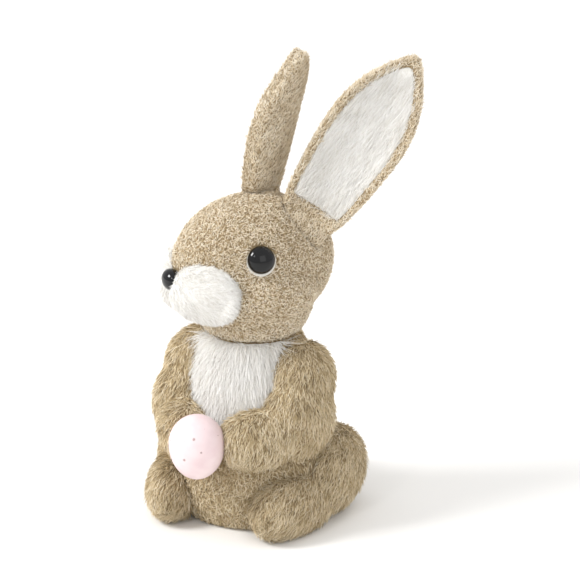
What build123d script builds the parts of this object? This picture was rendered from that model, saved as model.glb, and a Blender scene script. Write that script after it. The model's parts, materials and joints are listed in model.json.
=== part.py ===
"""A sitting bunny ornament: foam lobes under glued sisal fibre, on a round card base.

Frame: millimetres, +Z up, origin at the centre of the base's underside. The body faces -Y and
its left side is +X. The head is stored turned to the bunny's right, on its neck peg.
Each function makes one kind of piece; the names of the written files are the names of the pieces.
"""

import math
import os

from build123d import *

# Driving dimensions -------------------------------------------------------------------------
COAT = 1.8  # thickness of the sisal fibre glued over each foam lobe
GLUE = 0.05  # gap between pieces that are glued face to face
SWIVEL_GAP = 0.4  # between the head's flat underside and the body's flat top
NECK_Z = 76.0  # height of the body's flat top
HEAD_TURN = -39.0  # degrees about +Z from straight ahead, as stored

# The torso is turned about +Z: (radius, height) from the base to the neck.
TORSO = [(27, 0), (31, 8), (33, 20), (31.5, 33), (28.3, 47), (24.5, 60), (21, 69.5), (17, NECK_Z)]
BASE_RADIUS, BASE_THICK = 25.0, 2.0
BIB = [(-15.5, 74.5), (15.5, 74.5), (17, 64), (12.5, 52.5), (0, 45), (-12.5, 52.5), (-17, 64)]

# Ellipsoids: centre, then half-axes, for a left-hand piece or one on the middle plane.
CRANIUM = ((0, 0, 103.5), (23, 33, 27))
JOWL = ((0, 0, 95), (27.5, 25, 17))
SNOUT = ((0, -13.5, 97), (14, 21, 13))
NAPE = ((0, 0, 90), (23.5, 23.5, 22))
MUZZLE_ZONE, MUZZLE_THICK = ((11.5, -25.5, 96.8), (13.5, 13, 12)), 3.6
NOSE = ((0, -34.8, 100.8), (5.2, 3.8, 4.4))
NOSE_SHANK = 10.0
TAIL = ((0, 36, 17), (10, 9, 10))
SHOULDER = ((20.5, -3, 58.5), (13.5, 15.5, 14.5))
ELBOW = ((22.5, -9, 45), (13.5, 17.5, 17.5))
# A fourth number turns a lobe about +Z: the left paw reaches further round the egg.
FOREARM_LEFT = ((15.5, -26.5, 40.5), (10, 16.5, 11), 42)
FOREARM_RIGHT = ((17, -25.5, 40), (10, 16.5, 11), 27)
HAUNCH = ((27.5, 8, 17), (13.5, 22, 17))
FOOT = ((25.5, -14, 11), (10.5, 25, 13), 10)

EGG_CENTRE = (-4, -42.4, 41)
EGG_RADIUS, EGG_BLUNT, EGG_POINT = 11.0, 11.5, 14.5  # its ends' heights above and below the girth

EYE_CENTRE = (21.4, -6.5, 111.2)
EYE_RADIUS, EYE_RISE, EYE_BACK = 5.5, 3.6, 1.0  # dome radius, its height, its sunk back
SHANK_RADIUS, EYE_SHANK = 1.0, 10.0
RIM_RADIUS, RIM_THICK, RIM_DROP = 5.9, 1.0, 0.55

PEG_RADIUS, PEG_LOW, PEG_HIGH = 2.5, 40.0, 100.0
PEG_RUNNING = 0.06  # radial clearance on which the head turns

# Each ear: its pivot, its length, its lean backwards, its splay outwards and its lining's bearing.
EARS = {
    "left": ((10.2, 16.0, 118.2), 81.0, 31.0, 13.0, 58.0),
    "right": ((-11.0, 9.0, 121.3), 69.0, 7.3, -14.0, 52.0),
}
# Angles along each ear's travel, plus towards its lining, from one end to the other.
EAR_BENDS = {"left": (-20, -10, 0, 8, 15), "right": (-4, 0, 8, 17, 26)}
# The barrel at an ear's root that it bends on: half its length, and its radii at end and middle.
KNUCKLE, KNUCKLE_GAP = (10, 4.2, 6.4), 0.35
# Half-width of an ear at each share of its length from the pivot.
EAR_OUTLINE = [(10, 0.03), (12, 0.1), (13.6, 0.19), (14.9, 0.31), (15.9, 0.45), (16.2, 0.58),
               (14.6, 0.72), (10.8, 0.84), (5.8, 0.935), (0, 1)]
EAR_RIM, EAR_FLOOR = 3.2, 10.5  # width of the brown border, and where the board begins
CUP_RADIUS = 34.0  # radius of the ear's curl across its width, at the middle of its board
BOARD_FRONT, BOARD_BACK, COAT_BACK, RIM_FRONT, LINING_FRONT = 0.8, -1.0, -3.0, 2.4, 2.0
WIRE_RADIUS, WIRE_DEPTH, WIRE_SHARE, STEM_END = 0.6, -0.1, 0.83, 8.0

BIG = 400.0
SIDES = {"left": 1, "right": -1}


# Small helpers ------------------------------------------------------------------------------
def ellipsoid(form, grow=0.0, side=1):
    """One of the ellipsoids above, larger by grow all round, on the left (1) or right (-1)."""
    (x, y, z), half_axes, *turn = form
    ball = scale(Sphere(1), by=tuple(a + grow for a in half_axes))
    return Pos(side * x, y, z) * Rot(0, 0, -side * (turn[0] if turn else 0)) * ball


def above(height):
    """Everything higher than a level."""
    return Pos(0, 0, height + BIG / 2) * Box(BIG, BIG, BIG)


def rod(start, direction, length, radius):
    """A straight round rod from a point."""
    return Plane(origin=start, z_dir=direction) * extrude(Circle(radius), length)


def turned(piece):
    """A piece of the head, swung with the head to where it is stored."""
    return Rot(0, 0, HEAD_TURN) * piece


def write(name, piece):
    """Writes one named piece, which is one solid or several."""
    solids = piece.solids()
    shape = solids[0] if len(solids) == 1 else Compound(children=list(solids))
    export_step(shape, f"parts/{name}.step")


# Body ---------------------------------------------------------------------------------------
def torso(grow=0.0, top=NECK_Z):
    """The torso's outer form, larger by grow in radius, cut flat at its base and at top."""
    outline = [(r + grow, z) for r, z in TORSO]
    edge = Spline(*outline)
    rest = Polyline(outline[-1], (outline[-1][0], top + 0.01), (0, top + 0.01), (0, 0), outline[0])
    return revolve(Plane.XZ * make_face(edge + rest), Axis.Z)


def bib_zone(grow=0.0):
    """A block through the chest with the bib's outline, seen from the front."""
    wide = 1 + grow / BIB[1][0]
    middle = (BIB[0][1] + BIB[4][1]) / 2
    tall = 1 + grow / (BIB[0][1] - middle)
    points = [(x * wide, middle + (z - middle) * tall) for x, z in BIB]
    outline = make_face(Spline(*points[1:], points[0]) + Line(points[0], points[1]))
    return Pos(0, -5, 0) * extrude(Plane.XZ * outline, 60)


def neck_peg(grow=0.0):
    return Pos(0, 0, PEG_LOW) * extrude(Circle(PEG_RADIUS + grow), PEG_HIGH - PEG_LOW)


def base_disc():
    return extrude(Circle(BASE_RADIUS), BASE_THICK)


def body_core():
    inside = torso(-COAT) & (Pos(0, 0, BASE_THICK + GLUE + NECK_Z / 2) * Box(BIG, BIG, NECK_Z))
    return (inside & (Pos(0, 0, NECK_Z / 2) * Box(BIG, BIG, NECK_Z))) - neck_peg(GLUE)


def body_shell():
    """The fibre coat as one sleeve, before the bib is inlaid."""
    return torso() - torso(-COAT + GLUE, NECK_Z + 1) - above(NECK_Z)


def egg(grow=0.0):
    """An egg standing on its point, with its girth above the middle."""
    r, up, down = EGG_RADIUS + grow, EGG_BLUNT + grow, EGG_POINT + grow
    cap = scale(Sphere(1), by=(r, r, up)) & above(0)
    bowl = scale(Sphere(1), by=(r, r, down)) - above(0)
    return Pos(*EGG_CENTRE) * (cap + bowl)


def arm_form(side, grow=0.0):
    forearm = FOREARM_LEFT if side == 1 else FOREARM_RIGHT
    parts = [ellipsoid(form, grow, side) for form in (SHOULDER, ELBOW, forearm)]
    return parts[0] + parts[1] + parts[2]


def leg_form(side, grow=0.0):
    return ellipsoid(HAUNCH, grow, side) + ellipsoid(FOOT, grow, side)


def arm(side):
    """(core, coat) of one arm: a lobe laid on the torso, with its paw shaped to the egg."""
    seat = torso(GLUE) + egg(GLUE)
    outer = arm_form(side) - seat
    inner = arm_form(side, -COAT) - torso(GLUE) - egg(COAT)
    return inner, outer - (arm_form(side, -COAT + GLUE) - egg(COAT - GLUE))


def leg(side):
    """(core, coat) of one hind leg: haunch and foot in one lobe, flat under the foot."""
    seat = torso(GLUE) + arm_form(side, GLUE)
    outer = (leg_form(side) - seat) & above(0)
    inner = (leg_form(side, -COAT) - torso(GLUE) - arm_form(side, COAT)) & above(COAT)
    hollow = (leg_form(side, -COAT + GLUE) - arm_form(side, COAT - GLUE)) & above(COAT - GLUE)
    return inner, outer - hollow


# Head, facing -Y --------------------------------------------------------------------------
def head_form(grow=0.0):
    cranium, jowl, snout, nape = (ellipsoid(f, grow) for f in (CRANIUM, JOWL, SNOUT, NAPE))
    return cranium + jowl + snout + nape


def nose(grow=0.0):
    x, y, z = NOSE[0]
    return ellipsoid(NOSE, grow) + rod((x, y, z), (0, 1, 0), NOSE_SHANK + grow, SHANK_RADIUS + grow)


def eye_plane(side):
    """A plane on the head's surface at an eye, facing out."""
    x, y, z = EYE_CENTRE
    (cx, cy, cz), (a, b, c) = CRANIUM
    normal = ((x - cx) / a**2, (y - cy) / b**2, (z - cz) / c**2)
    return Plane(origin=(side * x, y, z), z_dir=(side * normal[0], normal[1], normal[2]))


def eye(side, grow=0.0):
    """A domed button on a shank."""
    dome = scale(Sphere(1), by=(EYE_RADIUS + grow, EYE_RADIUS + grow, EYE_RISE + grow))
    dome &= above(-EYE_BACK - grow)
    shank = Pos(0, 0, -EYE_SHANK - grow) * extrude(Circle(SHANK_RADIUS + grow), EYE_SHANK)
    return eye_plane(side) * (dome + shank)


def eye_rim(side, grow=0.0):
    """A thin pale washer under the eye, a little low so that it shows below the dome."""
    washer = Pos(0, 0, -EYE_BACK - grow) * extrude(Circle(RIM_RADIUS + grow), RIM_THICK + 2 * grow)
    plane = eye_plane(side)
    return Pos(0, 0, -RIM_DROP) * (plane * washer)


def muzzle(side):
    """One white muzzle pad over the side of the snout, meeting the other on the middle plane."""
    half = Pos(side * (BIG / 2 + GLUE), 0, 0) * Box(BIG, BIG, BIG)
    patch = head_form(MUZZLE_THICK) & (ellipsoid(MUZZLE_ZONE, 0, side) & half)
    return patch - head_form(GLUE) - nose(GLUE)


# Ears, in their own frame: X across, Y along, Z out of the lining; pivot at the origin ----------
def ear_axes(name):
    """An ear's length direction and the direction its lining faces, as unit vectors."""
    _, _, *angles = EARS[name]
    lean, splay, facing = (math.radians(a) for a in angles)
    side = SIDES[name]
    along = Vector(side * math.sin(splay), math.cos(splay) * math.sin(lean),
                   math.cos(splay) * math.cos(lean))
    out = Vector(side * math.sin(facing), -math.cos(facing), 0)
    return along, (out - along * out.dot(along)).normalized()


def ear_plane(name):
    along, out = ear_axes(name)
    return Plane(origin=EARS[name][0], x_dir=along.cross(out), z_dir=out)


def ear_outline(name, inset=0.0):
    """The leaf outline of an ear, drawn in by inset at its widest and at its tip."""
    points = [(x, share * EARS[name][1]) for x, share in EAR_OUTLINE]
    low, tip = points[0][1], points[-1][1]
    wide = 1 - inset / max(x for x, _ in EAR_OUTLINE)
    tall = 1 - 1.3 * inset / (tip - low)
    right = [(x * wide, low + (y - low) * tall) for x, y in points]
    left = [(-x, y) for x, y in reversed(right[:-1])]
    return make_face(Spline(*right, *left) + Line(left[-1], right[0]))


def curled(low, high):
    """The space between two levels of the ear's thickness, curled across its width."""
    rings = Cylinder(CUP_RADIUS - low, BIG) - Cylinder(CUP_RADIUS - high, BIG)
    back_half = Pos(0, 0, -BIG / 2 + CUP_RADIUS / 2) * Box(BIG, BIG, BIG)
    return (Pos(0, 0, CUP_RADIUS) * Rot(90, 0, 0) * rings) & back_half


def ear_slice(name, low, high, inset=0.0, floor=None):
    outline = ear_outline(name, inset)
    if floor is not None:
        outline &= Pos(0, floor + BIG / 2) * Rectangle(BIG, BIG)
    return curled(low, high) & (Pos(0, 0, -BIG / 4) * extrude(outline, BIG / 2))


def knuckle(grow=0.0):
    """The barrel at the root, turned about the line the ear bends on."""
    half, end, middle = (size + grow for size in KNUCKLE)
    side = ThreePointArc((half, end), (0, middle), (-half, end))
    rest = Polyline((-half, end), (-half, 0), (half, 0), (half, end))
    return revolve(make_face(side + rest), Axis.X)


def ear_wire(name, grow=0.0):
    length = WIRE_SHARE * EARS[name][1]
    return rod((0, 0, WIRE_DEPTH), (0, 1, 0), length + grow, WIRE_RADIUS + grow)


def skull_in_ear(name, bend):
    """The head's crown, a little large, as an ear's own frame meets it when bent by an angle."""
    return Rot(-bend, 0, 0) * (ear_plane(name).location.inverse() * ellipsoid(CRANIUM, KNUCKLE_GAP))


def ear_pieces(name):
    """The four pieces of an ear in its own frame: coat, board, lining and wire."""
    tray = ear_slice(name, BOARD_BACK - GLUE, RIM_FRONT + 2, EAR_RIM, EAR_FLOOR)
    blade = ear_slice(name, COAT_BACK, RIM_FRONT) - tray
    for bend in EAR_BENDS[name]:
        blade -= skull_in_ear(name, bend)
    bore, inset, floor = ear_wire(name, GLUE), EAR_RIM + GLUE, EAR_FLOOR + GLUE
    return {
        "coat": blade + knuckle() - bore,
        "board": ear_slice(name, BOARD_BACK, BOARD_FRONT, inset, floor) - bore,
        "lining": ear_slice(name, BOARD_FRONT + GLUE, LINING_FRONT, inset, floor),
        "wire": ear_wire(name),
    }


def ear_stem(name, grow=0.0):
    """The end of an ear's wire that stays in the head, pointing down and inwards."""
    pivot = Vector(*EARS[name][0])
    way = (Vector(0, 0, CRANIUM[0][2] - 8) - pivot).normalized()
    start = pivot + way * (KNUCKLE[0] + 4 * KNUCKLE_GAP)
    return rod(start, way, STEM_END + grow, WIRE_RADIUS + grow)


def head_pieces():
    """The head's foam core and its fibre coat, with seats for all that is set in them."""
    floor = NECK_Z + SWIVEL_GAP
    core, coat = head_form(-COAT), head_form() - head_form(-COAT + GLUE)
    seats = [nose(GLUE), neck_peg(PEG_RUNNING)]
    for name, side in SIDES.items():
        seats += [eye(side, GLUE), eye_rim(side, GLUE)]
        seats += [ear_plane(name) * knuckle(KNUCKLE_GAP), ear_stem(name, GLUE)]
    for seat in seats:
        core, coat = core - seat, coat - seat
    return core & above(floor), coat & above(floor)


def main():
    os.makedirs("parts", exist_ok=True)
    zone = bib_zone()
    shell = body_shell()
    write("base_disc", base_disc())
    write("body_core", body_core())
    write("body_coat", shell - bib_zone(GLUE))
    write("bib", shell & zone)
    write("neck_peg", neck_peg())
    write("tail", ellipsoid(TAIL) - torso(GLUE))
    write("egg", egg())

    core, coat = head_pieces()
    write("head_core", turned(core))
    write("head_coat", turned(coat))
    write("nose", turned(nose()))

    for name, side in SIDES.items():
        for limb, make in (("arm", arm), ("leg", leg)):
            limb_core, limb_coat = make(side)
            write(f"{limb}_core_{name}", limb_core)
            write(f"{limb}_coat_{name}", limb_coat)
        write(f"muzzle_{name}", turned(muzzle(side)))
        write(f"eye_{name}", turned(eye(side)))
        write(f"eye_rim_{name}", turned(eye_rim(side) - eye(side, GLUE)))
        write(f"ear_stem_{name}", turned(ear_stem(name)))
        for kind, piece in ear_pieces(name).items():
            write(f"ear_{kind}_{name}", turned(ear_plane(name) * piece))


main()
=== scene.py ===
"""A sitting bunny of foam lobes under chopped sisal fibre, holding a painted egg.

Every soft form is the CAD lobe of the same name, softened, with fibres laid over it by one
Geometry Nodes tree. Metres, +Z up; the body faces -Y and its left side is +X.
"""

import json
import math

import bmesh
import bpy
import numpy as np
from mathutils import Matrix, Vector
from mathutils.bvhtree import BVHTree


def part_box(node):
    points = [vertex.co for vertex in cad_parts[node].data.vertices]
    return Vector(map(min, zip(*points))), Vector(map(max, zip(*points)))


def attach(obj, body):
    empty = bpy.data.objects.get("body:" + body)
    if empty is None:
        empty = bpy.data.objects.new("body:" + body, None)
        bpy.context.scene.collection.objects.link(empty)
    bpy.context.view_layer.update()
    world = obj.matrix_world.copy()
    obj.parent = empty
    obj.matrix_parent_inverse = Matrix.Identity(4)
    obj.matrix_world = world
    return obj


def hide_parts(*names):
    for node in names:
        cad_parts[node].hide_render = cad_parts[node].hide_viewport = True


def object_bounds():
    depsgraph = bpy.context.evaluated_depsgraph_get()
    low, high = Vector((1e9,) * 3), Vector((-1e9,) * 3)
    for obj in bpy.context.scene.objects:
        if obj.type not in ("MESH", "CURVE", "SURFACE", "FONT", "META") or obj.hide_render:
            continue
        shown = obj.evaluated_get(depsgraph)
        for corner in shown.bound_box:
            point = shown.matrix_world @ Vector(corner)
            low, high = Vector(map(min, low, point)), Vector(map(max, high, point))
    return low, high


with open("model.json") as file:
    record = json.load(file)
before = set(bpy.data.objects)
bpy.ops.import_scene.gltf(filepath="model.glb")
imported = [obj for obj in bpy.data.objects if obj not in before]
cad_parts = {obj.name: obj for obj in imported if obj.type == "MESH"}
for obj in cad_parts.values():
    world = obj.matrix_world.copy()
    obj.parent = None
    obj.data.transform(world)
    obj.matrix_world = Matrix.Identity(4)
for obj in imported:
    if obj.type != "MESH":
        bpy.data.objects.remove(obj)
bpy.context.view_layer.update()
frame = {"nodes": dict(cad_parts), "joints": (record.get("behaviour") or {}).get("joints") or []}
MM = 0.001
SIDES = ("left", "right")
TABLE_GAP = 0.1 * MM  # how far above the table the lowest fibre lies


# ---- nodes ---------------------------------------------------------------------------------
def srgb(code, alpha=1.0):
    """A colour as a linear tuple, from its sRGB hex code."""
    parts = [int(code[i : i + 2], 16) / 255 for i in (1, 3, 5)]
    return (*(c / 12.92 if c <= 0.04045 else ((c + 0.055) / 1.055) ** 2.4 for c in parts), alpha)


def add(tree, kind, settings=None, **inputs):
    """A node of a kind, with its settings, and its inputs given as values or linked sockets."""
    node = tree.nodes.new(kind)
    for key, value in (settings or {}).items():
        setattr(node, key, value)
    for key, value in inputs.items():
        socket = node.inputs[int(key[1:])] if key[1:].isdigit() else node.inputs[key.replace("_", " ")]
        if isinstance(value, bpy.types.NodeSocket):
            tree.links.new(value, socket)
        else:
            socket.default_value = value
    return node


def ramp(tree, fac, stops):
    """A colour ramp on a number, from (position, hex) stops."""
    node = add(tree, "ShaderNodeValToRGB", Fac=fac)
    band = node.color_ramp
    while len(band.elements) < len(stops):
        band.elements.new(0.5)
    for element, (place, code) in zip(band.elements, stops):
        element.position, element.color = place, srgb(code)
    return node.outputs["Color"]


def new_material(name):
    """A material with only its Principled shader, and its tree and shader."""
    material = bpy.data.materials.new(name)
    material.use_nodes = True
    return material, material.node_tree, material.node_tree.nodes["Principled BSDF"]


def object_noise(tree, size_mm, detail=3.0, stretch=(1, 1, 1)):
    """Noise on Object coordinates whose grain is about a size in millimetres."""
    where = add(tree, "ShaderNodeTexCoord").outputs["Object"]
    scaled = add(tree, "ShaderNodeMapping", Vector=where, Scale=stretch).outputs["Vector"]
    return add(tree, "ShaderNodeTexNoise", Vector=scaled, Scale=1 / (size_mm * MM), Detail=detail)


# ---- materials -----------------------------------------------------------------------------
def chopped_sisal(name, stops, patch_mm):
    """Dry sisal strands, chopped short: matte, each strand its own shade, paler at its tip."""
    material, tree, shader = new_material(name)
    shade = add(tree, "ShaderNodeAttribute", {"attribute_name": "shade"}).outputs["Fac"]
    tip = add(tree, "ShaderNodeAttribute", {"attribute_name": "tip"}).outputs["Fac"]
    patch = object_noise(tree, patch_mm, 2).outputs["Fac"]
    drift = add(tree, "ShaderNodeMath", {"operation": "MULTIPLY_ADD"}, _0=patch, _1=0.5, _2=-0.25)
    lift = add(tree, "ShaderNodeMath", {"operation": "MULTIPLY_ADD"}, _0=tip, _1=0.22, _2=drift.outputs[0])
    total = add(tree, "ShaderNodeMath", {"operation": "MULTIPLY_ADD"}, _0=shade, _1=0.8, _2=lift.outputs[0])
    tree.links.new(ramp(tree, total.outputs[0], stops), shader.inputs["Base Color"])
    shader.inputs["Roughness"].default_value = 0.82
    shader.inputs["Specular IOR Level"].default_value = 0.28
    shader.inputs["Sheen Weight"].default_value = 0.12
    shader.inputs["Sheen Roughness"].default_value = 0.6
    return material


def shaded_glue_bed(name, stops):
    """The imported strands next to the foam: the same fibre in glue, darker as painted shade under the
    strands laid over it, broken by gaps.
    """
    material, tree, shader = new_material(name)
    strands = object_noise(tree, 0.9, 5).outputs["Fac"]
    tree.links.new(ramp(tree, strands, stops), shader.inputs["Base Color"])
    bump = add(tree, "ShaderNodeBump", Height=strands, Strength=0.9, Distance=0.5 * MM)
    tree.links.new(bump.outputs["Normal"], shader.inputs["Normal"])
    shader.inputs["Roughness"].default_value = 0.92
    shader.inputs["Specular IOR Level"].default_value = 0.2
    return material


def moulded_bead():
    """Black acrylic, moulded and tumbled: a deep even gloss with the faintest ripple."""
    material, tree, shader = new_material("moulded_black_acrylic")
    tone = ramp(tree, object_noise(tree, 6).outputs["Fac"], [(0.3, "#040405"), (0.7, "#09090B")])
    ripple = add(tree, "ShaderNodeBump", Height=object_noise(tree, 3, 1).outputs["Fac"],
                 Strength=0.15, Distance=0.05 * MM)
    tree.links.new(tone, shader.inputs["Base Color"])
    tree.links.new(ripple.outputs["Normal"], shader.inputs["Normal"])
    shader.inputs["Roughness"].default_value = 0.09
    shader.inputs["IOR"].default_value = 1.49
    shader.inputs["Specular IOR Level"].default_value = 0.3
    shader.inputs["Coat Weight"].default_value = 0.25
    shader.inputs["Coat Roughness"].default_value = 0.03
    return material


def painted_egg():
    """Foam egg brushed with pale pink acrylic and flicked with thinned brown: satin, speckled."""
    material, tree, shader = new_material("speckled_pink_acrylic_paint")
    where = add(tree, "ShaderNodeTexCoord").outputs["Object"]
    body = ramp(tree, object_noise(tree, 9).outputs["Fac"], [(0.3, "#E2C9CC"), (0.7, "#EDDADB")])
    wobble = object_noise(tree, 1.2, 2).outputs["Color"]
    bent = add(tree, "ShaderNodeMix", {"data_type": "VECTOR"}, Factor=0.0006, _4=where, _5=wobble)
    cells = add(tree, "ShaderNodeTexVoronoi", Vector=bent.outputs[1], Scale=1 / (3.4 * MM))
    size = add(tree, "ShaderNodeSeparateColor", Color=cells.outputs["Color"])
    reach = add(tree, "ShaderNodeMath", {"operation": "MULTIPLY_ADD"}, _0=size.outputs[0], _1=0.42, _2=-0.2)
    fleck = add(tree, "ShaderNodeMath", {"operation": "LESS_THAN"}, _0=cells.outputs["Distance"],
                _1=reach.outputs[0])
    paint = add(tree, "ShaderNodeMix", {"data_type": "RGBA"}, Factor=fleck.outputs[0], _6=body,
                _7=srgb("#B39C9A"))
    brush = object_noise(tree, 0.8, 3, (1, 1, 0.35)).outputs["Fac"]
    bump = add(tree, "ShaderNodeBump", Height=brush, Strength=0.25, Distance=0.08 * MM)
    tree.links.new(paint.outputs[2], shader.inputs["Base Color"])
    tree.links.new(bump.outputs["Normal"], shader.inputs["Normal"])
    shader.inputs["Roughness"].default_value = 0.5
    return material


def grained(name, stops, grain_mm, roughness, stretch=(1, 1, 1), metallic=0.0, depth_mm=0.05):
    """A plain stock such as card, wood or wire, and the white eye rims: two close tones, and a fine dry
    relief.
    """
    material, tree, shader = new_material(name)
    grain = object_noise(tree, grain_mm, 4, stretch).outputs["Fac"]
    bump = add(tree, "ShaderNodeBump", Height=grain, Strength=0.4, Distance=depth_mm * MM)
    tree.links.new(ramp(tree, grain, stops), shader.inputs["Base Color"])
    tree.links.new(bump.outputs["Normal"], shader.inputs["Normal"])
    shader.inputs["Roughness"].default_value = roughness
    shader.inputs["Metallic"].default_value = metallic
    return material


# Undyed sisal, cut short on the head and ears, and longer and combed down on the limbs.
NATURAL = chopped_sisal("natural_chopped_sisal", [(0.0, "#8A775B"), (0.28, "#CEBC9E"),
                                                  (0.6, "#E6D9C1"), (1.0, "#F7F0E2")], 14)
# The torso's and limbs' copy, with darker stops than the head's: painted shade.
SHADED_COMBED = chopped_sisal("natural_combed_sisal_painted_shade", [(0.0, "#6B593E"), (0.3, "#B6A17B"),
                                                (0.62, "#D9C8A6"), (1.0, "#F2E7D0")], 12)
# The bed's stops sit darker than the strands': painted shade under them.
NATURAL_BED = shaded_glue_bed("natural_sisal_in_glue_painted_shade", [(0.3, "#6B583D"), (0.7, "#B39E7B")])
# Bleached sisal: near white, with a little warmth left in the gaps.
WHITE = chopped_sisal("bleached_chopped_sisal", [(0.0, "#DEDAD2"), (0.35, "#F0EEEA"),
                                                 (1.0, "#F9F8F6")], 10)
# A little darker than the white strands: painted shade under them.
WHITE_BED = shaded_glue_bed("bleached_sisal_in_glue_painted_shade", [(0.3, "#E2DFD8"), (0.7, "#F8F7F4")])
BEAD = moulded_bead()
EGG_PAINT = painted_egg()
CARD = grained("pressed_brown_card", [(0.3, "#7A6040"), (0.7, "#A08560")], 0.7, 0.9)
# The white rims under the eye beads: a painted reflection of the pale surroundings.
EYE_RIM_REFLECTION = grained("white_rim_painted_reflection", [(0.3, "#DAD6CD"), (0.7, "#F3F0EA")], 0.4, 0.95)
BEECH = grained("turned_beech", [(0.3, "#B98F5E"), (0.7, "#D3AE7E")], 0.9, 0.6, (1, 1, 0.1))
STEEL = grained("drawn_steel_wire", [(0.3, "#9A9A9C"), (0.7, "#B4B4B6")], 0.3, 0.35,
                (1, 1, 0.1), 1.0, 0.01)


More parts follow.
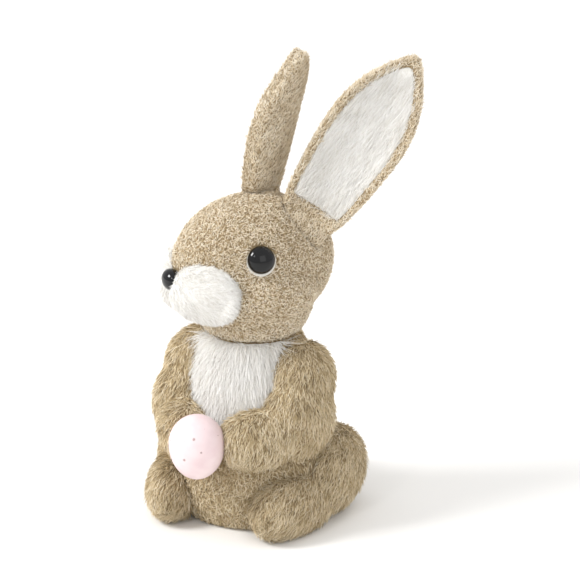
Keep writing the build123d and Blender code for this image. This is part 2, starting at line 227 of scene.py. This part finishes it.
# ---- the strands ---------------------------------------------------------------------------
# Sisal strands are about 0.2 mm thick. They are drawn 0.32 to 0.4 mm wide, as coarse as it takes
# for single ones to show, and fewer of them cover the same ground.
def strand_tree():
    """Lays short strands over a form: combed along a direction or away from a point."""
    tree = bpy.data.node_groups.new("strands_over_a_form", "GeometryNodeTree")
    face = tree.interface
    sizes = [("Per square metre", 2e6), ("Length", 4 * MM), ("Width", 0.3 * MM), ("Curl", 0.2),
             ("Lift", 0.4), ("Tangle", 0.6), ("Spread", 0.0)]
    face.new_socket("Form", in_out="INPUT", socket_type="NodeSocketGeometry")
    for name, value in sizes:
        face.new_socket(name, in_out="INPUT", socket_type="NodeSocketFloat").default_value = value
    for name in ("Along", "Source"):
        face.new_socket(name, in_out="INPUT", socket_type="NodeSocketVector")
    face.new_socket("Seed", in_out="INPUT", socket_type="NodeSocketInt")
    face.new_socket("Segments", in_out="INPUT", socket_type="NodeSocketInt").default_value = 2
    face.new_socket("Finish", in_out="INPUT", socket_type="NodeSocketMaterial")
    face.new_socket("Strands", in_out="OUTPUT", socket_type="NodeSocketGeometry")
    given = tree.nodes.new("NodeGroupInput").outputs

    def maths(operation, **inputs):
        return add(tree, "ShaderNodeMath", {"operation": operation}, **inputs).outputs[0]

    def vectors(operation, **inputs):
        node = add(tree, "ShaderNodeVectorMath", {"operation": operation}, **inputs)
        return node.outputs["Value" if operation == "DOT_PRODUCT" else "Vector"]

    def chance(low, high, seed, kind="FLOAT"):
        node = add(tree, "FunctionNodeRandomValue", {"data_type": kind})
        sockets = [s for s in node.inputs if s.enabled]
        sockets[0].default_value, sockets[1].default_value = low, high
        tree.links.new(maths("ADD", _0=given["Seed"], _1=seed), node.inputs["Seed"])
        return next(s for s in node.outputs if s.enabled)

    # One strand: a three-sided spike in one or more lengths, curling as it rises.
    spike = add(tree, "GeometryNodeMeshCone", {"fill_type": "NONE"}, Vertices=3,
                Side_Segments=given["Segments"], Radius_Top=0.12, Radius_Bottom=0.5, Depth=1.0)
    height = add(tree, "ShaderNodeSeparateXYZ", Vector=add(tree, "GeometryNodeInputPosition").outputs[0])
    up = height.outputs["Z"]
    thin = add(tree, "ShaderNodeCombineXYZ", X=given["Width"], Y=given["Width"], Z=given["Length"])
    bow = maths("MULTIPLY", _0=maths("MULTIPLY", _0=up, _1=up),
                _1=maths("MULTIPLY", _0=given["Curl"], _1=given["Length"]))
    tipped = add(tree, "GeometryNodeStoreNamedAttribute", {"data_type": "FLOAT", "domain": "POINT"},
                 Geometry=spike.outputs["Mesh"], Name="tip", Value=up)
    shaped = vectors("ADD", _0=vectors("MULTIPLY", _0=add(tree, "GeometryNodeInputPosition").outputs[0],
                                       _1=thin.outputs[0]),
                     _1=add(tree, "ShaderNodeCombineXYZ", X=bow).outputs[0])
    strand = add(tree, "GeometryNodeSetPosition", Geometry=tipped.outputs[0], Position=shaped)

    # Where they stand, and the way each one lies.
    cover = add(tree, "GeometryNodeInputNamedAttribute", {"data_type": "FLOAT"}, Name="cover")
    density = maths("MULTIPLY", _0=given["Per square metre"], _1=cover.outputs[0])
    roots = add(tree, "GeometryNodeDistributePointsOnFaces", Mesh=given["Form"], Density=density,
                Seed=given["Seed"])
    normal = roots.outputs["Normal"]
    place = add(tree, "GeometryNodeInputPosition").outputs[0]
    away = add(tree, "ShaderNodeVectorMath", {"operation": "SCALE"},
               Vector=vectors("SUBTRACT", _0=place, _1=given["Source"]), Scale=given["Spread"])
    comb = vectors("NORMALIZE", _0=vectors("ADD", _0=given["Along"], _1=away.outputs[0]))
    loose = add(tree, "ShaderNodeVectorMath", {"operation": "SCALE"}, Scale=given["Tangle"],
                Vector=chance((-1, -1, -1), (1, 1, 1), 1, "FLOAT_VECTOR"))
    wish = vectors("ADD", _0=comb, _1=loose.outputs[0])
    into = add(tree, "ShaderNodeVectorMath", {"operation": "SCALE"}, Vector=normal,
               Scale=vectors("DOT_PRODUCT", _0=wish, _1=normal))
    flat = vectors("NORMALIZE", _0=vectors("SUBTRACT", _0=wish, _1=into.outputs[0]))
    rise = add(tree, "ShaderNodeVectorMath", {"operation": "SCALE"}, Vector=normal,
               Scale=maths("MULTIPLY", _0=given["Lift"], _1=chance(0.25, 1.75, 2)))
    lie = vectors("ADD", _0=flat, _1=rise.outputs[0])
    turn = add(tree, "FunctionNodeAlignRotationToVector", {"axis": "Z"}, Vector=lie)
    roll = add(tree, "FunctionNodeAxisAngleToRotation", Axis=(0, 0, 1), Angle=chance(0, 6.283, 3))
    spun = add(tree, "FunctionNodeRotateRotation", {"rotation_space": "LOCAL"},
               Rotation=turn.outputs[0], Rotate_By=roll.outputs[0])
    each = add(tree, "GeometryNodeInstanceOnPoints", Points=roots.outputs["Points"],
               Instance=strand.outputs[0], Rotation=spun.outputs[0])
    size = add(tree, "ShaderNodeCombineXYZ", X=1.0, Y=1.0, Z=chance(0.5, 1.25, 4))
    tree.links.new(size.outputs[0], each.inputs["Scale"])
    shaded = add(tree, "GeometryNodeStoreNamedAttribute", {"data_type": "FLOAT", "domain": "INSTANCE"},
                 Geometry=each.outputs[0], Name="shade", Value=chance(0.0, 1.0, 5))
    whole = add(tree, "GeometryNodeRealizeInstances", Geometry=shaded.outputs[0])
    done = add(tree, "GeometryNodeSetMaterial", Geometry=whole.outputs[0], Material=given["Finish"])
    tree.links.new(done.outputs[0], tree.nodes.new("NodeGroupOutput").inputs[0])
    return tree


STRANDS = strand_tree()


def linked(name, mesh):
    obj = bpy.data.objects.new(name, mesh)
    bpy.context.scene.collection.objects.link(obj)
    return obj


def baked(obj, name):
    """The object's mesh with its modifiers applied, as a new object; the old one is removed."""
    bpy.context.view_layer.update()
    graph = bpy.context.evaluated_depsgraph_get()
    mesh = bpy.data.meshes.new_from_object(obj.evaluated_get(graph), depsgraph=graph)
    mesh.name = name
    bpy.data.objects.remove(obj)
    return linked(name, mesh)


def corners(mesh):
    """A mesh's vertices as an array."""
    flat = np.empty(len(mesh.vertices) * 3, np.float64)
    mesh.vertices.foreach_get("co", flat)
    return flat.reshape(-1, 3)


def on_table(piece):
    """Lays whatever hangs below the table's top flat on it."""
    points = corners(piece.data)
    points[:, 2] = np.maximum(points[:, 2], TABLE_GAP)
    piece.data.vertices.foreach_set("co", points.astype(np.float32).ravel())
    piece.data.update()


def surface(*nodes):
    """A search tree over CAD nodes' faces."""
    points, faces = [], []
    for node in nodes:
        mesh = frame["nodes"][node].data
        start = len(points)
        points += [v.co for v in mesh.vertices]
        faces += [[start + i for i in p.vertices] for p in mesh.polygons]
    return BVHTree.FromPolygons(points, faces)


def softened(name, nodes, grain, rounds, swell=0.0):
    """One closed form over CAD nodes, with the creases between their lobes smoothed away."""
    shell = bmesh.new()
    for node in nodes:
        shell.from_mesh(frame["nodes"][node].data)
    mesh = bpy.data.meshes.new(name)
    shell.to_mesh(mesh)
    shell.free()
    rough = linked(name + "_rough", mesh)
    remesh = rough.modifiers.new("fill", "REMESH")
    remesh.mode, remesh.voxel_size, remesh.use_smooth_shade = "VOXEL", grain * MM, True
    smooth = rough.modifiers.new("soften", "SMOOTH")
    smooth.factor, smooth.iterations = 0.5, rounds
    form = baked(rough, name)
    out = np.empty(len(form.data.vertices) * 3, np.float32)
    form.data.vertices.foreach_get("normal", out)
    moved = corners(form.data) + out.reshape(-1, 3) * swell * MM
    form.data.vertices.foreach_set("co", moved.astype(np.float32).ravel())
    on_table(form)
    return form


def cover(form, bare=(), margin=0.9, low=None, along=None, short=0.0):
    """Marks where strands grow: not near the bare nodes, below a level, or short of the far end."""
    points = corners(form.data)
    share = np.ones(len(points))
    if bare:
        near = surface(*bare)
        for i, point in enumerate(points):
            hit = near.find_nearest(Vector(point), margin * MM)
            if hit[0] is not None:
                share[i] = 0
    if low is not None:
        share[points[:, 2] < low] = 0
    if along is not None:
        reach = points @ np.array(along)
        share[reach > reach.max() - short * MM] = 0
    mark = form.data.attributes.new("cover", "FLOAT", "POINT")
    mark.data.foreach_set("value", share.astype(np.float32))


def strands(form, name, body, slot, finish, seed, **sizes):
    """The form's coat of strands, as a plain mesh that rides with its body."""
    holder = linked(name + "_holder", form.data.copy())
    lay = holder.modifiers.new("strands", "NODES")
    lay.node_group = STRANDS
    sockets = {s.name: s.identifier for s in STRANDS.interface.items_tree if s.in_out == "INPUT"}
    values = {"Seed": seed, "Segments": 2, "Finish": finish}
    values.update({key.replace("_", " "): value for key, value in sizes.items()})
    for key, value in values.items():
        lay[sockets[key]] = value
    coat = baked(holder, name)
    on_table(coat)
    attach(coat, body)
    return coat


def settle(piece, body, finish, nodes=()):
    """Gives a finished piece its material and body, and hides the CAD nodes it stands for."""
    piece.data.materials.clear()
    piece.data.materials.append(finish)
    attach(piece, body)
    if nodes:
        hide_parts(*nodes)
    return piece


def centre(*nodes):
    """The middle of CAD nodes' boxes together."""
    boxes = [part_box(n) for n in nodes]
    low = Vector(min(b[0][i] for b in boxes) for i in range(3))
    high = Vector(max(b[1][i] for b in boxes) for i in range(3))
    return (low + high) / 2


JOINT = {j["name"]: j for j in frame["joints"]}
NOSE = centre("nose")
FORWARD = Vector((NOSE.x, NOSE.y, 0)).normalized()  # the way the head faces


# ---- body ----------------------------------------------------------------------------------
def make_body():
    torso = softened("torso_form", ["body_coat", "body_core", "bib"], 1.3, 6)
    limbs = [f"{limb}_coat_{side}" for limb in ("arm", "leg") for side in SIDES]
    cover(torso, bare=[*limbs, "bib", "tail"], margin=0.9, low=0.8 * MM)
    strands(torso, "torso_strands", "body", "sisal_natural", SHADED_COMBED, 11, Along=(0, 0, -1),
            Tangle=1.2, Lift=0.22, Length=2.2 * MM, Width=0.36 * MM, Per_square_metre=2.4e6,
            Segments=1)
    settle(torso, "body", NATURAL_BED, ["body_coat", "body_core"])

    bib = softened("bib_form", ["bib"], 0.7, 3, 0.5)
    cover(bib, bare=["body_core"], margin=0.5)
    strands(bib, "bib_strands", "body", "sisal_white", WHITE, 12, Along=(0, 0, -1), Tangle=0.1,
            Lift=0.015, Length=9 * MM, Width=0.34 * MM, Per_square_metre=4.5e6)
    settle(bib, "body", WHITE_BED, ["bib"])

    tail = softened("tail_form", ["tail"], 0.9, 6)
    cover(tail, bare=["body_core"], margin=1.0)
    middle = centre("tail")
    strands(tail, "tail_strands", "body", "sisal_white", WHITE, 13, Source=middle, Spread=1.0,
            Tangle=0.9, Lift=1.0, Length=3.4 * MM, Width=0.34 * MM, Per_square_metre=5e6)
    settle(tail, "body", WHITE_BED, ["tail"])

    for i, side in enumerate(SIDES):
        arm = softened(f"arm_{side}_form", [f"arm_coat_{side}", f"arm_core_{side}"], 1.1, 34, 1.1)
        cover(arm, bare=["body_core", "egg"], margin=1.2)
        strands(arm, f"arm_{side}_strands", "body", "sisal_natural", SHADED_COMBED, 21 + i,
                Along=(0, -0.35, -1), Tangle=0.45, Lift=0.16, Length=3.6 * MM, Width=0.4 * MM,
                Per_square_metre=2.6e6)
        settle(arm, "body", NATURAL_BED, [f"arm_coat_{side}", f"arm_core_{side}"])

        leg = softened(f"leg_{side}_form", [f"leg_coat_{side}", f"leg_core_{side}"], 1.1, 34, 1.1)
        cover(leg, bare=["body_core"], margin=1.2, low=0.9 * MM)
        strands(leg, f"leg_{side}_strands", "body", "sisal_natural", SHADED_COMBED, 31 + i,
                Along=(0, -0.8, -0.6), Tangle=0.45, Lift=0.16, Length=3.8 * MM, Width=0.4 * MM,
                Per_square_metre=2.6e6)
        settle(leg, "body", NATURAL_BED, [f"leg_coat_{side}", f"leg_core_{side}"])


# ---- head ----------------------------------------------------------------------------------
def make_head():
    skull = softened("head_form", ["head_coat", "head_core"], 1.3, 10, 0.3)
    cover(skull, bare=["muzzle_left", "muzzle_right", "eye_left", "eye_right", "nose"], margin=0.7)
    strands(skull, "head_strands", "head", "sisal_natural", NATURAL, 41, Source=NOSE, Spread=40.0,
            Tangle=2.2, Lift=0.3, Length=1.5 * MM, Width=0.4 * MM, Per_square_metre=2.6e6,
            Segments=1)
    settle(skull, "head", NATURAL_BED, ["head_coat", "head_core"])

    for i, side in enumerate(SIDES):
        puff = softened(f"muzzle_{side}_form", [f"muzzle_{side}"], 0.8, 18, 1.0)
        cover(puff, bare=["head_core", "nose"], margin=0.9)
        strands(puff, f"muzzle_{side}_strands", "head", "sisal_white", WHITE, 51 + i,
                Source=NOSE + Vector((0, 0, 3 * MM)), Spread=60.0, Tangle=0.4, Lift=0.14,
                Length=2.4 * MM, Width=0.34 * MM, Per_square_metre=6e6)
        settle(puff, "head", WHITE_BED, [f"muzzle_{side}"])


# ---- ears ----------------------------------------------------------------------------------
def make_ear(side, seed):
    body = f"ear_{side}"
    coat, board, lining = (f"ear_{kind}_{side}" for kind in ("coat", "board", "lining"))
    pivot = Vector(JOINT[f"ear_{side}_bend"]["pos_m"])
    along = (centre(board) - pivot).normalized()
    leaf = softened(f"ear_{side}_form", [coat, board], 0.9, 4)
    cover(leaf, bare=[lining], margin=0.5)
    strands(leaf, f"ear_{side}_strands", body, "sisal_natural", NATURAL, seed, Along=along,
            Tangle=1.0, Lift=0.16, Length=2.2 * MM, Width=0.36 * MM, Per_square_metre=3.4e6)
    settle(leaf, body, NATURAL_BED, [coat, board])

    sheet = softened(f"ear_{side}_lining_form", [lining], 0.55, 2, 0.1)
    cover(sheet, bare=[board], margin=0.55, along=along, short=7)
    strands(sheet, f"ear_{side}_lining_strands", body, "sisal_white", WHITE, seed + 1, Along=along,
            Tangle=0.05, Lift=0.01, Length=7 * MM, Width=0.34 * MM, Per_square_metre=3.6e6)
    settle(sheet, body, WHITE_BED, [lining])


# ---- beads, egg and what stays as the CAD has it ----------------------------------------------
def paint(node, finish):
    """A CAD node that stays, with its own finish."""
    mesh = frame["nodes"][node].data
    mesh.materials.clear()
    mesh.materials.append(finish)


def make_nose():
    """A bead pressed into a rounded triangle, broad above and narrow below."""
    half_width, half_depth, half_height = 5.1, 3.7, 4.3  # mm
    shape = bmesh.new()
    bmesh.ops.create_icosphere(shape, subdivisions=4, radius=1.0)
    across = FORWARD.cross(Vector((0, 0, 1)))
    points = (Vector(v.co) for v in frame["nodes"]["nose"].data.vertices)
    front = max(points, key=lambda p: p.dot(FORWARD))
    middle = front - FORWARD * half_depth * MM
    for vert in shape.verts:
        x, y, z = vert.co
        narrow = 1 - 0.22 * max(0.0, -z) + 0.06 * max(0.0, z)
        reach = across * x * half_width * narrow + FORWARD * y * half_depth
        vert.co = middle + (reach + Vector((0, 0, z * half_height))) * MM
    bmesh.ops.recalc_face_normals(shape, faces=shape.faces)
    mesh = bpy.data.meshes.new("nose_bead")
    shape.to_mesh(mesh)
    shape.free()
    mesh.shade_smooth()
    settle(linked("nose_bead", mesh), "head", BEAD, ["nose"])


make_body()
make_head()
make_ear("left", 61)
make_ear("right", 71)
make_nose()
paint("egg", EGG_PAINT)
paint("base_disc", CARD)
paint("neck_peg", BEECH)
for side in SIDES:
    paint(f"eye_{side}", BEAD)
    # The eye rim in white: a painted reflection.
    paint(f"eye_rim_{side}", EYE_RIM_REFLECTION)
    paint(f"ear_wire_{side}", STEEL)
    paint(f"ear_stem_{side}", STEEL)


# ---- studio --------------------------------------------------------------------------------
# Each lamp: its name, place, size in metres and power in watts.
LAMPS = [
    ("key", (-0.9, -0.7, 1.05), 0.5, 18),
    ("fill", (1.1, -0.8, 0.6), 0.8, 1.5),
    ("back", (0.3, 1.0, 0.9), 0.7, 3),
    ("catch", (-0.1, -1.1, 0.9), 0.07, 1.2),  # small, for the highlight on the beads
]
SKY_STRENGTH = 0.86
CAMERA_AZIMUTH, CAMERA_ELEVATION, CAMERA_DISTANCE = math.radians(25), math.radians(19.5), 1.35
CAMERA_LENS, CAMERA_SENSOR = 212, 36  # mm


def make_studio():
    """A flat pale floor under a pale sky, a broad key from the left, a fill and a back light."""
    low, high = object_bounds()
    aim = Vector((0.011, 0.011, (low.z + high.z) / 2 - 0.0055))
    floor = bpy.data.meshes.new("floor")
    floor.from_pydata([(-6, -6, 0), (6, -6, 0), (6, 6, 0), (-6, 6, 0)], [], [(0, 1, 2, 3)])
    ground = linked("floor", floor)
    paper, _, shader = new_material("matt_white_paper")
    shader.inputs["Base Color"].default_value = srgb("#F4F3F1")
    shader.inputs["Roughness"].default_value = 0.95
    floor.materials.append(paper)

    world = bpy.data.worlds.new("pale_sky")
    world.use_nodes = True
    world.node_tree.nodes["Background"].inputs["Color"].default_value = srgb("#FFFFFF")
    world.node_tree.nodes["Background"].inputs["Strength"].default_value = SKY_STRENGTH
    bpy.context.scene.world = world
    for name, place, size, power in LAMPS:
        lamp = bpy.data.lights.new(name, "AREA")
        lamp.size, lamp.energy = size, power
        light = bpy.data.objects.new(name, lamp)
        bpy.context.scene.collection.objects.link(light)
        light.location = place
        light.rotation_euler = (aim - Vector(place)).to_track_quat("-Z", "Y").to_euler()

    flat = math.cos(CAMERA_ELEVATION)
    towards = Vector((math.sin(CAMERA_AZIMUTH) * flat, -math.cos(CAMERA_AZIMUTH) * flat,
                      math.sin(CAMERA_ELEVATION)))
    eye = aim + CAMERA_DISTANCE * towards
    lens = bpy.data.cameras.new("camera")
    lens.lens, lens.sensor_width = CAMERA_LENS, CAMERA_SENSOR
    camera = bpy.data.objects.new("camera", lens)
    bpy.context.scene.collection.objects.link(camera)
    camera.location = eye
    camera.rotation_euler = (aim - eye).to_track_quat("-Z", "Y").to_euler()
    bpy.context.scene.camera = camera
    bpy.context.scene.view_settings.view_transform = "Standard"  # whites stay white


make_studio()
